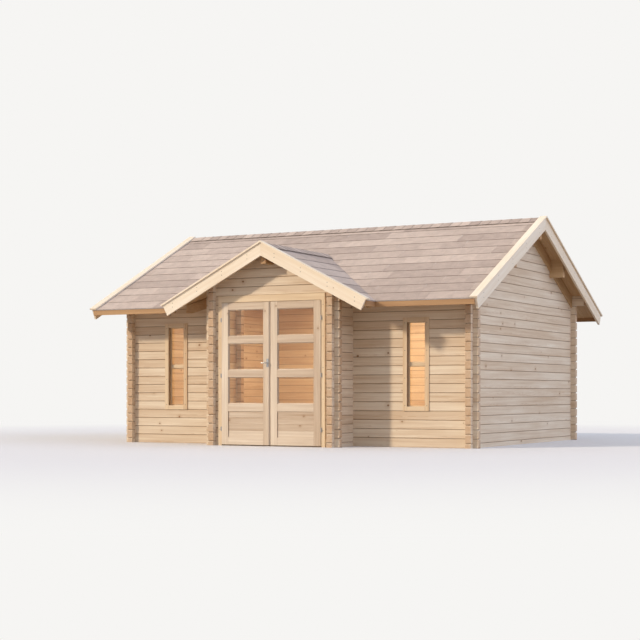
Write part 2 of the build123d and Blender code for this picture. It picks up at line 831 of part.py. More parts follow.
# Hinges: the lower knuckle is on the casing and the upper one on the leaf's edge, each with its lug
hinge_x = leaf_outer + hinge_radius + hinge_clearance
hinge_y = leaf_front_y


def knuckles(side, low, high, lug_x, lug_y):
    """Knuckles of one leaf's hinges between two heights, each with a lug to its own piece."""
    with BuildPart() as pins:
        for z in hinge_heights:
            with BuildSketch(Plane.XY.offset(z + low)):
                with Locations((side * hinge_x, hinge_y)):
                    Circle(hinge_radius)
            extrude(amount=high - low)
            x0 = min(side * hinge_x, side * lug_x)
            x1 = max(side * hinge_x, side * lug_x)
            add(block(x0, x1, hinge_y, lug_y, z + low, z + high))
    return pins.part


for name, side in (("door_left_hinges", -1), ("door_right_hinges", 1)):
    keep(knuckles(side, knuckle_gap, hinge_length / 2, leaf_outer, hinge_y + hinge_radius), name)
with BuildPart() as frame_hinges:
    for side in (-1, 1):
        add(knuckles(side, -hinge_length / 2, 0, hinge_x + hinge_radius, frame_front_y))
keep(frame_hinges.part, "frame_hinges")

# Lever handles on the cover strip and on the back of the same stile
handle_x = strip_x - cover_strip_width / 2
with BuildPart() as door_handle:
    for face_y, outward in ((strip_front_y, -1), (leaf_back_y, 1)):
        plate_y = face_y + outward * handle_plate_thickness
        stem_y = face_y + outward * handle_stem
        x0 = handle_x - handle_plate_width / 2
        z0 = handle_height - handle_plate_height / 2
        add(block(
            x0, x0 + handle_plate_width, min(face_y, plate_y), max(face_y, plate_y),
            z0, z0 + handle_plate_height,
        ))
        with BuildSketch(Plane(origin=(handle_x, face_y, handle_height), z_dir=(0, outward, 0))):
            Circle(handle_radius)
        extrude(amount=handle_stem)
        with BuildSketch(Plane(origin=(handle_x, stem_y, handle_height), z_dir=(-1, 0, 0))):
            Circle(handle_radius)
        extrude(amount=lever_length)
keep(door_handle.part, "door_handle")


def window_frame(x):
    """Casing on the logs, a lining through the wall, and one bar across the glass."""
    half_casing = window_width / 2
    half_lining = half_casing - casing_lap
    half_clear = half_casing - casing_width
    low = window_sill_course * log_pitch
    high = low + window_height
    inner_face = front_y + log_thickness + lining_proud
    with BuildPart() as frame:
        add(block(x - half_casing, x + half_casing, front_y - casing_proud, front_y, low, high))
        add(block(
            x - half_lining, x + half_lining, front_y, inner_face, low + casing_lap, high - casing_lap,
        ))
        add(
            block(
                x - half_clear, x + half_clear, front_y - casing_proud, inner_face,
                low + casing_width, high - casing_width,
            ),
            mode=Mode.SUBTRACT,
        )
        bar_y = front_y + glass_setback - muntin_depth
        middle = (low + high) / 2
        add(block(
            x - half_clear, x + half_clear, bar_y, front_y + glass_setback,
            middle - muntin_height / 2, middle + muntin_height / 2,
        ))
    return frame.part


def window_glass(x):
    half_clear = window_width / 2 - casing_width
    low = window_sill_course * log_pitch + casing_width
    high = window_sill_course * log_pitch + window_height - casing_width
    y0 = front_y + glass_setback
    return block(x - half_clear, x + half_clear, y0, y0 + glass_thickness, low, high)


keep(window_frame(-window_offset), "window_frame_left")
keep(window_frame(window_offset), "window_frame_right")
with BuildPart() as window_panes:
    add(window_glass(-window_offset))
    add(window_glass(window_offset))
keep(window_panes.part, "window_glass")

os.makedirs("parts", exist_ok=True)
for piece in finished:
    export_step(piece, "parts/" + piece.label + ".step")
print("pieces", len(finished))
print("hinge", round(hinge_x, 3), round(hinge_y, 3))
print("front wall face", round(front_y, 3), "bay front face", round(bay_front_y, 3))
print("ridge", round(ridge_top, 1), "bay ridge", round(bay_ridge_top, 1), "eave", round(eave_top, 1))
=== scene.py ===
import math

import bmesh
import bpy
from mathutils import Matrix, Vector


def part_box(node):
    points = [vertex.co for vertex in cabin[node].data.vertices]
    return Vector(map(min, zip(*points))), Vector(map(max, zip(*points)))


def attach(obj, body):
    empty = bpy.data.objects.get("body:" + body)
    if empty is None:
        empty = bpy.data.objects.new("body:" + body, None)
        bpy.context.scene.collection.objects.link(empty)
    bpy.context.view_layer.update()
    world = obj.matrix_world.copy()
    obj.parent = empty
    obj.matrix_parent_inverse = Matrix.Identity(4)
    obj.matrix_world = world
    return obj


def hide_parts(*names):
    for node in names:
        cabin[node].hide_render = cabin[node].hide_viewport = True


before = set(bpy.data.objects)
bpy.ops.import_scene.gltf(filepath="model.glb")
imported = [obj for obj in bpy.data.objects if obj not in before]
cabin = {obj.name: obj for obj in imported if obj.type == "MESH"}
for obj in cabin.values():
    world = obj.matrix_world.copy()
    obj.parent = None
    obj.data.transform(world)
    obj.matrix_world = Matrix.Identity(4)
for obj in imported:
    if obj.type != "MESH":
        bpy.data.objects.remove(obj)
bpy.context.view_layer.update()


# Walls
# Planed spruce logs with interlocking ends, stacked dry. They are pale cream with thin tan growth
# lines along each log and small brown knots. A brown line, partly the dark joint itself and partly
# painted shade in the V, marks where the edges of two logs meet, and it is wider on the log ends.
def linear(code):
    """An sRGB hex colour as linear RGBA."""
    channels = [int(code[i:i + 2], 16) / 255 for i in (1, 3, 5)]
    return [c / 12.92 if c <= 0.04045 else ((c + 0.055) / 1.055) ** 2.4 for c in channels] + [1.0]


def add_node(tree, kind, inputs=(), **settings):
    """Adds a node. inputs is a list in the order of the node's inputs, or a dictionary by name or
    number. Each gets a value, or is fed by a socket or by another node's first output."""
    added = tree.nodes.new(kind)
    for name, value in settings.items():
        setattr(added, name, value)
    pairs = inputs.items() if isinstance(inputs, dict) else enumerate(inputs)
    for name, value in pairs:
        if isinstance(value, bpy.types.Node):
            value = value.outputs[0]
        if isinstance(value, bpy.types.NodeSocket):
            tree.links.new(value, added.inputs[name])
        else:
            added.inputs[name].default_value = value
    return added


def new_material(name):
    """Material with its node tree and its shader."""
    material = bpy.data.materials.new(name)
    material.use_nodes = True
    return material, material.node_tree, material.node_tree.nodes["Principled BSDF"]


def spruce_grain():
    """Node group with the look of planed spruce. Along, Across and Depth are metres from the middle
    of a board or log, and Board is its number, which gives each one its own grain."""
    tree = bpy.data.node_groups.new("planed spruce grain", "ShaderNodeTree")
    for label in ("Along", "Across", "Depth", "Board", "Knots"):
        tree.interface.new_socket(label, in_out="INPUT", socket_type="NodeSocketFloat")
    for label in ("Sapwood", "Latewood"):
        tree.interface.new_socket(label, in_out="INPUT", socket_type="NodeSocketColor")
    tree.interface.new_socket("Color", in_out="OUTPUT", socket_type="NodeSocketColor")
    for label in ("Roughness", "Height"):
        tree.interface.new_socket(label, in_out="OUTPUT", socket_type="NodeSocketFloat")
    given = add_node(tree, "NodeGroupInput").outputs
    result = add_node(tree, "NodeGroupOutput").inputs

    # Each board is cut from another place in the tree, up to 31 m along it and 17 m across
    chance = add_node(tree, "ShaderNodeTexWhiteNoise", {"W": given["Board"]}, noise_dimensions="1D")
    luck = add_node(tree, "ShaderNodeSeparateColor", [chance.outputs["Color"]]).outputs
    moved = [
        add_node(tree, "ShaderNodeMath", [luck[channel], reach, given[label]], operation="MULTIPLY_ADD")
        for channel, reach, label in (("Red", 31.0, "Along"), ("Green", 17.0, "Across"))
    ]
    place = add_node(tree, "ShaderNodeCombineXYZ", moved + [given["Depth"]])

    # Noise drawn out along the grain, in waves a metre: bent rings, fibres under a millimetre wide,
    # streaks about 25 mm wide and broad clouds
    waves = {}
    for label, along, across in (
        ("bend", 0.7, 7.0), ("fibre", 9.0, 420.0), ("streak", 1.1, 34.0), ("cloud", 0.9, 5.0),
    ):
        stretch = (along, across, across)
        drawn = add_node(tree, "ShaderNodeVectorMath", [place, stretch], operation="MULTIPLY")
        waves[label] = add_node(tree, "ShaderNodeTexNoise", {"Vector": drawn, "Scale": 1.0, "Detail": 3.0})

    # Knots up to 30 mm across, a little farther apart along the grain, with a soft rim and the grain
    # bent round them
    knot_radius = 0.015
    least_radius = 0.0005
    knot_spacing = 0.37
    spread = (0.8 / knot_spacing, 1 / knot_spacing, 0)
    spread = add_node(tree, "ShaderNodeVectorMath", [place, spread], operation="MULTIPLY")
    cells = add_node(tree, "ShaderNodeTexVoronoi", {"Vector": spread, "Scale": 1.0},
                     voronoi_dimensions="2D")
    away = cells.outputs["Distance"]
    away = add_node(tree, "ShaderNodeMath", [away, knot_spacing], operation="MULTIPLY")
    size = add_node(tree, "ShaderNodeSeparateColor", [cells.outputs["Color"]]).outputs["Red"]
    radius = add_node(tree, "ShaderNodeMapRange", [size, 0.45, 1.0, 0.0, knot_radius])
    radius = add_node(tree, "ShaderNodeMath", [radius, given["Knots"]], operation="MULTIPLY")
    radius = add_node(tree, "ShaderNodeMath", [radius, least_radius], operation="MAXIMUM")
    radii = add_node(tree, "ShaderNodeMath", [away, radius], operation="DIVIDE")
    knot, halo, heart = [
        add_node(tree, "ShaderNodeMapRange", [radii, rim, full, 0.0, most])
        for rim, full, most in ((1.0, 0.75, 0.85), (4.0, 1.0, 1.0), (0.9, 0.4, 1.0))
    ]

    # Growth rings round a pith that lies outside most boards
    ring_width = 0.0032
    out = add_node(tree, "ShaderNodeMath", [luck["Blue"], 0.09, given["Across"]], operation="MULTIPLY_ADD")
    deep = add_node(tree, "ShaderNodeMath", [given["Depth"], 0.11], operation="PINGPONG")
    deep = add_node(tree, "ShaderNodeMath", [deep, 0.02], operation="ADD")
    pith = add_node(tree, "ShaderNodeCombineXYZ", [out, deep])
    pith = add_node(tree, "ShaderNodeVectorMath", [pith], operation="LENGTH").outputs["Value"]
    for bend, reach in ((waves["bend"], 0.05), (halo, 0.006)):
        pith = add_node(tree, "ShaderNodeMath", [bend, reach, pith], operation="MULTIPLY_ADD")
    ring = add_node(tree, "ShaderNodeMath", [pith, 1 / ring_width], operation="MULTIPLY")
    ring = add_node(tree, "ShaderNodeMath", [ring], operation="FRACT")
    line = add_node(tree, "ShaderNodeMapRange", [ring, 0.45, 1.0, 0.0, 1.0])

    # How much each adds to the darker tone, from a start that leaves most of the wood pale
    amount = -0.62
    for part, share in (
        (waves["streak"], 0.8), (waves["cloud"], 0.75), (line, 0.18), (waves["fibre"], 0.18),
        (chance.outputs["Value"], 0.3), (halo, 0.2),
    ):
        amount = add_node(tree, "ShaderNodeMath", [part, share, amount], operation="MULTIPLY_ADD")
    amount = add_node(tree, "ShaderNodeMapRange", [amount, 0.0, 1.0, 0.0, 1.0])
    wood = add_node(tree, "ShaderNodeMix", {0: amount, 6: given["Sapwood"], 7: given["Latewood"]},
                    data_type="RGBA").outputs[2]
    knot_wood = add_node(tree, "ShaderNodeMix", {0: heart, 6: linear("#6f4c30"), 7: linear("#96683f")},
                         data_type="RGBA").outputs[2]
    colour = add_node(tree, "ShaderNodeMix", {0: knot, 6: wood, 7: knot_wood}, data_type="RGBA").outputs[2]
    rough = add_node(tree, "ShaderNodeMath", [waves["streak"], 0.2, 0.5], operation="MULTIPLY_ADD")
    height = add_node(tree, "ShaderNodeMath", [line, 0.5, waves["fibre"]], operation="MULTIPLY_ADD")
    tree.links.new(colour, result["Color"])
    tree.links.new(rough.outputs[0], result["Roughness"])
    tree.links.new(height.outputs[0], result["Height"])
    return tree


grain_group = spruce_grain()
log_wood = ("#efe2cc", "#be9d79")


def spruce(name, axes, tones=log_wood, boards=None, line=0.0, fold=None, opening=None, rails=(),
           knots=1.0):
    """Planed spruce, smooth to the touch but dull, so it has a broad weak gloss and no coat.
    axes names the axis along the grain, the one across it and the one into the wood. boards gives the
    first joint and the width of boards side by side, with a brown line of a half width at each joint: the
    dark joint with painted shade in it, drawn wider on faces across the grain.
    fold is the run's axis, the ridge and the pitch of wood that lies on a roof. opening is the middle
    and the half width of what uprights stand beside, and rails gives heights where level pieces meet."""
    material, tree, shader = new_material(name)
    place = add_node(tree, "ShaderNodeTexCoord").outputs
    object_axes = add_node(tree, "ShaderNodeSeparateXYZ", [place["Object"]]).outputs
    at = {axis: object_axes[axis] for axis in "XYZ"}
    slope_side = 0.0
    if fold:
        run, ridge, pitch = fold
        out = add_node(tree, "ShaderNodeMath", [at[run], ridge], operation="SUBTRACT")
        slope_side = add_node(tree, "ShaderNodeMath", [out, 0.0], operation="GREATER_THAN")
        out = add_node(tree, "ShaderNodeMath", [out], operation="ABSOLUTE")
        for axis, level, upright in ((run, math.cos(pitch), -math.sin(pitch)),
                                     ("Z", math.sin(pitch), math.cos(pitch))):
            share = add_node(tree, "ShaderNodeMath", [object_axes["Z"], upright], operation="MULTIPLY")
            at[axis] = add_node(tree, "ShaderNodeMath", [out, level, share], operation="MULTIPLY_ADD")
    length, across, depth = [at[axis] for axis in axes]
    facing = add_node(tree, "ShaderNodeSeparateXYZ", [place["Normal"]]).outputs[axes[0]]
    facing = add_node(tree, "ShaderNodeMath", [facing], operation="ABSOLUTE")
    end = add_node(tree, "ShaderNodeMapRange", [facing, 0.6, 0.9, 0.0, 1.0])

    # Number of the log or board. Uneven steps keep pieces that meet from getting the same one
    number = add_node(tree, "ShaderNodeMath", [depth, 1.3], operation="MULTIPLY")
    number = add_node(tree, "ShaderNodeMath", [number], operation="ROUND")
    number = add_node(tree, "ShaderNodeMath", [slope_side, 7.7, number], operation="MULTIPLY_ADD")
    dark = None
    if boards:
        first, width = boards
        steps = add_node(tree, "ShaderNodeMath", [across, first], operation="SUBTRACT")
        apart = add_node(tree, "ShaderNodeMath", [steps, width / 2], operation="PINGPONG")
        steps = add_node(tree, "ShaderNodeMath", [steps, width], operation="DIVIDE")
        place_in = add_node(tree, "ShaderNodeMath", [steps], operation="FRACT")
        steps = add_node(tree, "ShaderNodeMath", [steps], operation="FLOOR")
        number = add_node(tree, "ShaderNodeMath", [number, 41.0, steps], operation="MULTIPLY_ADD")
        across = add_node(tree, "ShaderNodeMath", [place_in, width, -width / 2], operation="MULTIPLY_ADD")
        if line:
            # The joint line: the dark joint itself, widened by painted shade of the V, and wider still on
            # the log ends
            reach = add_node(tree, "ShaderNodeMath", [end, line * 1.6, line], operation="MULTIPLY_ADD")
            dark = add_node(tree, "ShaderNodeMath", [apart, reach], operation="DIVIDE")
            dark = add_node(tree, "ShaderNodeMapRange", [dark, 1.0, 0.35, 0.0, 0.85])
    if opening:
        middle, half = opening
        out = object_axes["X"]
        for value in (middle, half):
            out = add_node(tree, "ShaderNodeMath", [out], operation="ABSOLUTE")
            out = add_node(tree, "ShaderNodeMath", [out, value], operation="SUBTRACT")
        upright = add_node(tree, "ShaderNodeMath", [out, 0.0], operation="GREATER_THAN")
        level = number
        for height in rails:
            above = add_node(tree, "ShaderNodeMath", [across, height], operation="GREATER_THAN")
            level = add_node(tree, "ShaderNodeMath", [above, 7.3, level], operation="MULTIPLY_ADD")
        side = number
        for edge in (-middle, 0.0, middle):
            past = add_node(tree, "ShaderNodeMath", [length, edge], operation="GREATER_THAN")
            side = add_node(tree, "ShaderNodeMath", [past, 5.9, side], operation="MULTIPLY_ADD")
        turned = []
        for flat, standing in ((length, across), (across, length), (level, side)):
            turned.append(add_node(tree, "ShaderNodeMix", {0: upright, 2: flat, 3: standing}))
        length, across, number = turned

        # A fine line of painted shade where the uprights meet the level pieces
        apart = add_node(tree, "ShaderNodeMath", [out], operation="ABSOLUTE")
        dark = add_node(tree, "ShaderNodeMapRange", [apart, 0.0016, 0.0006, 0.0, 0.7])
    grain = add_node(tree, "ShaderNodeGroup", {
        "Along": length, "Across": across, "Depth": depth, "Board": number, "Knots": knots,
        "Sapwood": linear(tones[0]), "Latewood": linear(tones[1]),
    }, node_tree=grain_group)

    # A saw cut across the grain is darker than a planed face. A joint is darker still, partly from painted
    # shade in it
    layers = []
    if not fold and not opening:
        layers.append((add_node(tree, "ShaderNodeMath", [end, 0.5], operation="MULTIPLY"), "#b1855a"))
    # This brown is painted shade along the joints, mixed with the dark joint itself in the log walls
    if dark:
        layers.append((dark, "#7a593f"))
    colour = grain.outputs["Color"]
    for share, code in layers:
        colour = add_node(tree, "ShaderNodeMix", {0: share, 6: colour, 7: linear(code)},
                          data_type="RGBA").outputs[2]
    bump = add_node(tree, "ShaderNodeBump", {
        "Strength": 0.3, "Distance": 0.0006, "Height": grain.outputs["Height"]})
    tree.links.new(colour, shader.inputs["Base Color"])
    tree.links.new(grain.outputs["Roughness"], shader.inputs["Roughness"])
    tree.links.new(bump.outputs[0], shader.inputs["Normal"])
    return material


def finish_with(material, *names):
    """Gives built pieces their finish."""
    for name in names:
        slots = cabin[name].data.materials
        slots.clear()
        slots.append(material)


log_pitch = 0.115
# Half width of the brown joint line, which is partly painted shade
joint_shade_width = 0.0045
for name, axes, first, nodes in (
    ("left to right", "XZY", 0, ("front_wall_left", "front_wall_right", "back_wall",
                                 "bay_front_left", "bay_front_right", "bay_gable")),
    ("front to back", "YZX", log_pitch / 2, ("left_gable_wall", "right_gable_wall",
                                             "bay_left_wall", "bay_right_wall")),
):
    wood = spruce("planed spruce logs, " + name, axes, boards=(first, log_pitch), line=joint_shade_width)
    finish_with(wood, *nodes)

# Beams
# The ridge beam, the purlins, the bay's ridge beam and the valley rafters are heavier spruce, drawn
# browner than the walls as painted shade of the roof above them. They rest in the gable walls and run
# out under the roof.
# Browner tones as painted shade for wood under the roof; the floor, joists and gable rafters take them too
shade_browned_wood = ("#d6b78c", "#a37a4e")
beam_band = 0.4
for name, axes, first_band, nodes in (
    ("left to right", "XZY", 2.4, ("ridge_beam", "purlins")),
    ("front to back", "YZX", 2.3, ("bay_ridge_beam", "valley_rafters")),
):
    # The grain starts anew at each band of height, also inside a beam that crosses from one to the next
    wood = spruce("planed spruce beams, " + name, axes, shade_browned_wood,
                  boards=(first_band, beam_band), knots=0.6)
    finish_with(wood, *nodes)

# Floor
# Sawn spruce joists lie on the ground between the bottom logs. Planed boards lie across them, tongue
# in groove, with chamfered edges. They are cut out round the log ends.
floor_low, floor_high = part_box("floor_boards")
plank_width = 0.096
plank_gap = 0.001
plank_chamfer = 0.003
plank_stock = 0.04
spare_length = 0.1
fit_gap = 0.0002


def add_object(name, data):
    """Object with its data, linked to the scene."""
    made = bpy.data.objects.new(name, data)
    bpy.context.scene.collection.objects.link(made)
    return made


def settled(piece):
    """Keeps what a piece's modifiers make of it as its plain mesh."""
    depsgraph = bpy.context.evaluated_depsgraph_get()
    result = bpy.data.meshes.new_from_object(
        piece.evaluated_get(depsgraph), preserve_all_data_layers=True, depsgraph=depsgraph
    )
    piece.modifiers.clear()
    piece.data = result
    return piece


def new_tree(name, sizes):
    """Geometry Nodes tree with named inputs."""
    tree = bpy.data.node_groups.new(name, "GeometryNodeTree")
    for label, kind in sizes.items():
        tree.interface.new_socket(label, in_out="INPUT", socket_type=kind)
    tree.interface.new_socket("Geometry", in_out="OUTPUT", socket_type="NodeSocketGeometry")
    return tree, add_node(tree, "NodeGroupInput").outputs


def grown(name, tree, start, values):
    """Runs a Geometry Nodes tree on a start mesh and keeps the result as a plain mesh, whose first
    material slot is empty."""
    carrier = add_object(name, start)
    modifier = carrier.modifiers.new(name, "NODES")
    modifier.node_group = tree
    for item in tree.interface.items_tree:
        if item.in_out == "INPUT" and item.name in values:
            modifier[item.identifier] = values[item.name]
    return settled(carrier)


def finish_tree(tree, copies, tone, material):
    """Ends a tree: each copy takes its tone, becomes real mesh and gets its material."""
    toned = add_node(tree, "GeometryNodeStoreNamedAttribute", {
        "Geometry": copies, "Name": "tone", "Value": tone}, domain="INSTANCE")
    real = add_node(tree, "GeometryNodeRealizeInstances", {"Geometry": toned})
    dressed = add_node(tree, "GeometryNodeSetMaterial", {"Geometry": real, "Material": material})
    add_node(tree, "NodeGroupOutput", {"Geometry": dressed})
    return tree


def row_of_pieces():
    """Repeats a piece in a row. Each copy gets its own tone."""
    tree, given = new_tree("row of pieces", {
        "Piece": "NodeSocketGeometry", "Count": "NodeSocketInt", "Start": "NodeSocketVector",
        "Step": "NodeSocketVector", "Seed": "NodeSocketInt", "Material": "NodeSocketMaterial",
    })
    index = add_node(tree, "GeometryNodeInputIndex")
    spot = add_node(tree, "ShaderNodeVectorMath", {0: given["Step"], "Scale": index}, operation="SCALE")
    spot = add_node(tree, "ShaderNodeVectorMath", [given["Start"], spot], operation="ADD")
    points = add_node(tree, "GeometryNodePoints", {"Count": given["Count"], "Position": spot})
    copies = add_node(tree, "GeometryNodeInstanceOnPoints", {"Points": points, "Instance": given["Piece"]})
    tone = add_node(tree, "FunctionNodeRandomValue", {2: 0.0, 3: 1.0, "ID": index, "Seed": given["Seed"]})
    return finish_tree(tree, copies, tone.outputs[1], given["Material"])


def skinned(name, rings):
    """Closed mesh over rings of points, which run anticlockwise seen from the last ring's end."""
    count = len(rings[0])
    last = count * (len(rings) - 1)
    faces = []
    for low in range(0, last, count):
        for step in range(count):
            after = (step + 1) % count
            faces.append((low + step, low + after, low + after + count, low + step + count))
    faces.append(tuple(reversed(range(count))))
    faces.append(tuple(range(last, last + count)))
    mesh = bpy.data.meshes.new(name)
    mesh.from_pydata([point for ring in rings for point in ring], [], faces)
    return mesh


def board_mesh(length, width, thickness, chamfer):
    """Board along X, centred, lying on Z = 0, with chamfered upper edges."""
    half = width / 2
    section = [(-half, 0), (half, 0), (half, thickness - chamfer), (half - chamfer, thickness),
               (chamfer - half, thickness), (-half, thickness - chamfer)]
    return skinned("board", [[(x, y, z) for y, z in section] for x in (-length / 2, length / 2)])


def cut_to(piece, node):
    """Cuts a piece to the shape of the built node that it replaces."""
    work = bmesh.new()
    work.from_mesh(cabin[node].data)
    bmesh.ops.remove_doubles(work, verts=work.verts, dist=1e-6)
    mesh = bpy.data.meshes.new("shape")
    work.to_mesh(mesh)
    work.free()
    shape = add_object("shape", mesh)
    fit = piece.modifiers.new("fit", "BOOLEAN")
    fit.operation = "INTERSECT"
    fit.object = shape
    settled(piece)
    bpy.data.objects.remove(shape)


row_tree = row_of_pieces()
# The floor boards and joists take the browner tones of painted shade
floor_wood = spruce("planed spruce floor boards", "XYZ", shade_browned_wood, boards=(floor_low.y, plank_width))
joist_wood = spruce("sawn spruce joists", "YXZ", shade_browned_wood, knots=0.5)
finish_with(joist_wood, "floor_joists")
plank_length = floor_high.x - floor_low.x + spare_length
plank = board_mesh(plank_length, plank_width - plank_gap, plank_stock, plank_chamfer)
floor_planks = grown("floor_planks", row_tree, plank, {
    "Count": math.ceil((floor_high.y - floor_low.y) / plank_width),
    "Start": (0, floor_low.y + plank_width / 2, floor_high.z - fit_gap - plank_stock),
    "Step": (0, plank_width, 0), "Seed": 3, "Material": floor_wood,
})
cut_to(floor_planks, "floor_boards")
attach(floor_planks, "cabin")
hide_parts("floor_boards")

# Roof boards
# Spruce boards, tongue in groove, nailed side by side on the purlins from ridge to eaves. The edges
# of their lower faces are chamfered, so thin V joints show on the soffits and on the ceiling.
roof_pitch = math.radians(26)
bay_pitch = math.radians(27.2)
shingle_lip = 0.012
shingle_thickness = 0.012
roof_board_thickness = 0.02
roof_low, roof_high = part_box("main_shingles")
bay_low, bay_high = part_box("bay_shingles")
ridge_y = sum(corner.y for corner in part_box("ridge_beam")) / 2
eave_z = roof_low.z + shingle_thickness / math.cos(roof_pitch)
bay_eave_z = bay_low.z + shingle_thickness / math.cos(bay_pitch)
eave_front = Vector((0, roof_low.y, eave_z))
eave_back = Vector((0, roof_high.y, eave_z))
slope_length = (ridge_y - roof_low.y) / math.cos(roof_pitch)
bay_slope_length = bay_high.x / math.cos(bay_pitch)
# Browner than the walls, as painted shade for the soffits and the ceiling under the roof
shade_browned_roof_tones = ("#dfc298", "#b58a5a")


def slope_frame(turn, pitch, eave, drop):
    """Frame with X along the eave and Y up the slope, its origin below the eave's top edge."""
    turned = Matrix.Rotation(turn, 4, "Z") @ Matrix.Rotation(pitch, 4, "X")
    return Matrix.Translation(eave) @ turned @ Matrix.Translation((0, 0, -drop))


def trim(piece, planes):
    """Cuts off what lies beyond each plane, given as a point and the way out, and closes the cuts."""
    work = bmesh.new()
    work.from_mesh(piece.data)
    for point, outward in planes:
        whole = work.verts[:] + work.edges[:] + work.faces[:]
        cut = bmesh.ops.bisect_plane(
            work, geom=whole, plane_co=point, plane_no=outward, clear_outer=True, dist=1e-6
        )
        rim = [edge for edge in cut["geom_cut"] if isinstance(edge, bmesh.types.BMEdge)]
        bmesh.ops.holes_fill(work, edges=rim)
    work.to_mesh(piece.data)
    work.free()


def joined(name, pieces):
    """One piece from several, which go. It has the first one's material slots."""
    work = bmesh.new()
    for piece in pieces:
        work.from_mesh(piece.data)
    whole = bpy.data.meshes.new(name)
    work.to_mesh(whole)
    work.free()
    for material in pieces[0].data.materials:
        whole.materials.append(material)
    for piece in pieces:
        bpy.data.objects.remove(piece)
    return add_object(name, whole)


main_fold = ("Y", ridge_y, roof_pitch)
bay_fold = ("X", 0, bay_pitch)
roof_wood = spruce("planed spruce roof boards, main slopes", "YXZ", shade_browned_roof_tones,
                   boards=(0, plank_width), fold=main_fold)
bay_roof_wood = spruce("planed spruce roof boards, bay slopes", "XYZ", shade_browned_roof_tones,
                       boards=(0, plank_width), fold=bay_fold)
below_shingles = shingle_thickness + roof_board_thickness - fit_gap
board_spare = 0.004
board_depth = roof_board_thickness + board_spare
centre = (0, 0, 0)


def slope_of_planks(turn, pitch, eave, length, reach, wood):
    """Boards side by side from below the eave to above the ridge, with their chamfers below."""
    board = board_mesh(length + spare_length, plank_width - plank_gap, board_depth, plank_chamfer)
    board.transform(Matrix.Rotation(math.pi, 4, "X"))
    board.transform(Matrix.Rotation(math.pi / 2, 4, "Z"))
    board.transform(Matrix.Translation((0, length / 2, board_depth)))
    on_each_side = math.ceil(reach / plank_width)
    planks = grown("roof planks", row_tree, board, {
        "Count": 2 * on_each_side, "Start": ((0.5 - on_each_side) * plank_width, 0, 0),
        "Step": (plank_width, 0, 0), "Seed": 5, "Material": wood,
    })
    planks.data.transform(slope_frame(turn, pitch, eave, below_shingles))
    return planks


for name, node, turn, eave in (
    ("roof_planks_front", "roof_boards_front", 0, eave_front),
    ("roof_planks_back", "roof_boards_back", math.pi, eave_back),
):
    planks = slope_of_planks(turn, roof_pitch, eave, slope_length, roof_high.x, roof_wood)
    planks.name = name
    cut_to(planks, node)
    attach(planks, "cabin")
    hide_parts(node)

bay_sides = []
for side in (1, -1):
    eave = Vector((side * bay_high.x, 0, bay_eave_z))
    planks = slope_of_planks(
        side * math.pi / 2, bay_pitch, eave, bay_slope_length, -bay_low.y, bay_roof_wood
    )
    trim(planks, [(centre, (-side, 0, 0))])
    cut_to(planks, "bay_roof_boards")
    bay_sides.append(planks)
bay_planks = joined("bay_roof_planks", bay_sides)
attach(bay_planks, "cabin")
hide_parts("bay_roof_boards")

# Roof edges
# Planed spruce boards screwed to the rafters and board ends: barge boards with caps on the gables,
# and browner fascias along the eaves. Cover strips close the joint of gable wall and roof.
edge_tones = ("#f8eedc", "#dfc8a8")
fascia_tones = ("#bd966a", "#895f3c")
for name, axes, tones, fold, knots, *nodes in (
    ("barge boards, main roof", "YZX", edge_tones, main_fold, 0.5, "main_barge_boards", "main_barge_caps"),
    ("barge boards, bay roof", "XZY", edge_tones, bay_fold, 0.5, "bay_barge_boards", "bay_barge_caps"),
    # Gable rafters and trims take the browner tones of painted shade under the roof edge
    ("gable rafters, main roof", "YZX", shade_browned_wood, main_fold, 0.5, "main_gable_rafters", "gable_trims"),
    ("gable rafters, bay roof", "XZY", shade_browned_wood, bay_fold, 0.5, "bay_gable_rafters"),
    ("fascias, main eaves", "XZY", fascia_tones, None, 0.7, "main_fascias"),
    ("fascias, bay eaves", "YZX", fascia_tones, None, 0.7, "bay_fascias"),
):
    finish_with(spruce("planed spruce " + name, axes, tones, fold=fold, knots=knots), *nodes)

# Roof edge screws
# Zinc plated screws hold the barge boards to the gable rafters. Their heads are 11 mm across, with a
# shallow dome that stands a little proud of the board and a recess for the driver.
screw_sides = 8
screw_outline = ((0.0055, 0.0), (0.0055, 0.0006), (0.0042, 0.0013), (0.0018, 0.0014), (0.0016, 0.0004))
barge_screw_rows = (0.05, 0.11)
barge_screw_first = 0.25
barge_screw_step = 0.5
bay_screw_rows = (0.05, 0.10)
bay_screw_first = 0.2
bay_screw_step = 0.38


def screw_mesh(turn):
    """Shallow domed head with a recess, its axis along Z before it is turned."""
    angles = [2 * math.pi * step / screw_sides for step in range(screw_sides)]
    mesh = skinned("screw", [
        [(radius * math.cos(angle), radius * math.sin(angle), height) for angle in angles]
        for radius, height in screw_outline
    ])
    mesh.transform(turn.to_4x4())
    return mesh


def bare_metal(name, waves, dark, light):
    """Metal whose tone wanders between two greys, in waves a metre along each axis."""
    material, tree, shader = new_material(name)
    place = add_node(tree, "ShaderNodeTexCoord").outputs["Object"]
    drawn = add_node(tree, "ShaderNodeVectorMath", [place, waves], operation="MULTIPLY")
    drift = add_node(tree, "ShaderNodeTexNoise", {"Vector": drawn, "Scale": 1.0, "Detail": 2.0})
    tone = add_node(tree, "ShaderNodeMix", {0: drift, 6: linear(dark), 7: linear(light)},
                    data_type="RGBA").outputs[2]
    tree.links.new(tone, shader.inputs["Base Color"])
    shader.inputs["Metallic"].default_value = 1.0
    return material, tree, shader, drift


# Zinc plated steel: a duller and darker grey than stainless, mottled where the zinc has grown
zinc, _, shader, _ = bare_metal("zinc plated steel", (900.0, 900.0, 900.0), "#6f6a62", "#9b968c")
shader.inputs["Roughness"].default_value = 0.5
screws = []


def add_screws(way, start, step, count):
    """A row of screws whose heads face one way."""
    turn = Vector(way).to_track_quat("Z", "Y").to_matrix()
    screws.append(grown("screws", row_tree, screw_mesh(turn), {
        "Count": count, "Start": tuple(start), "Step": tuple(step), "Seed": 7, "Material": zinc,
    }))


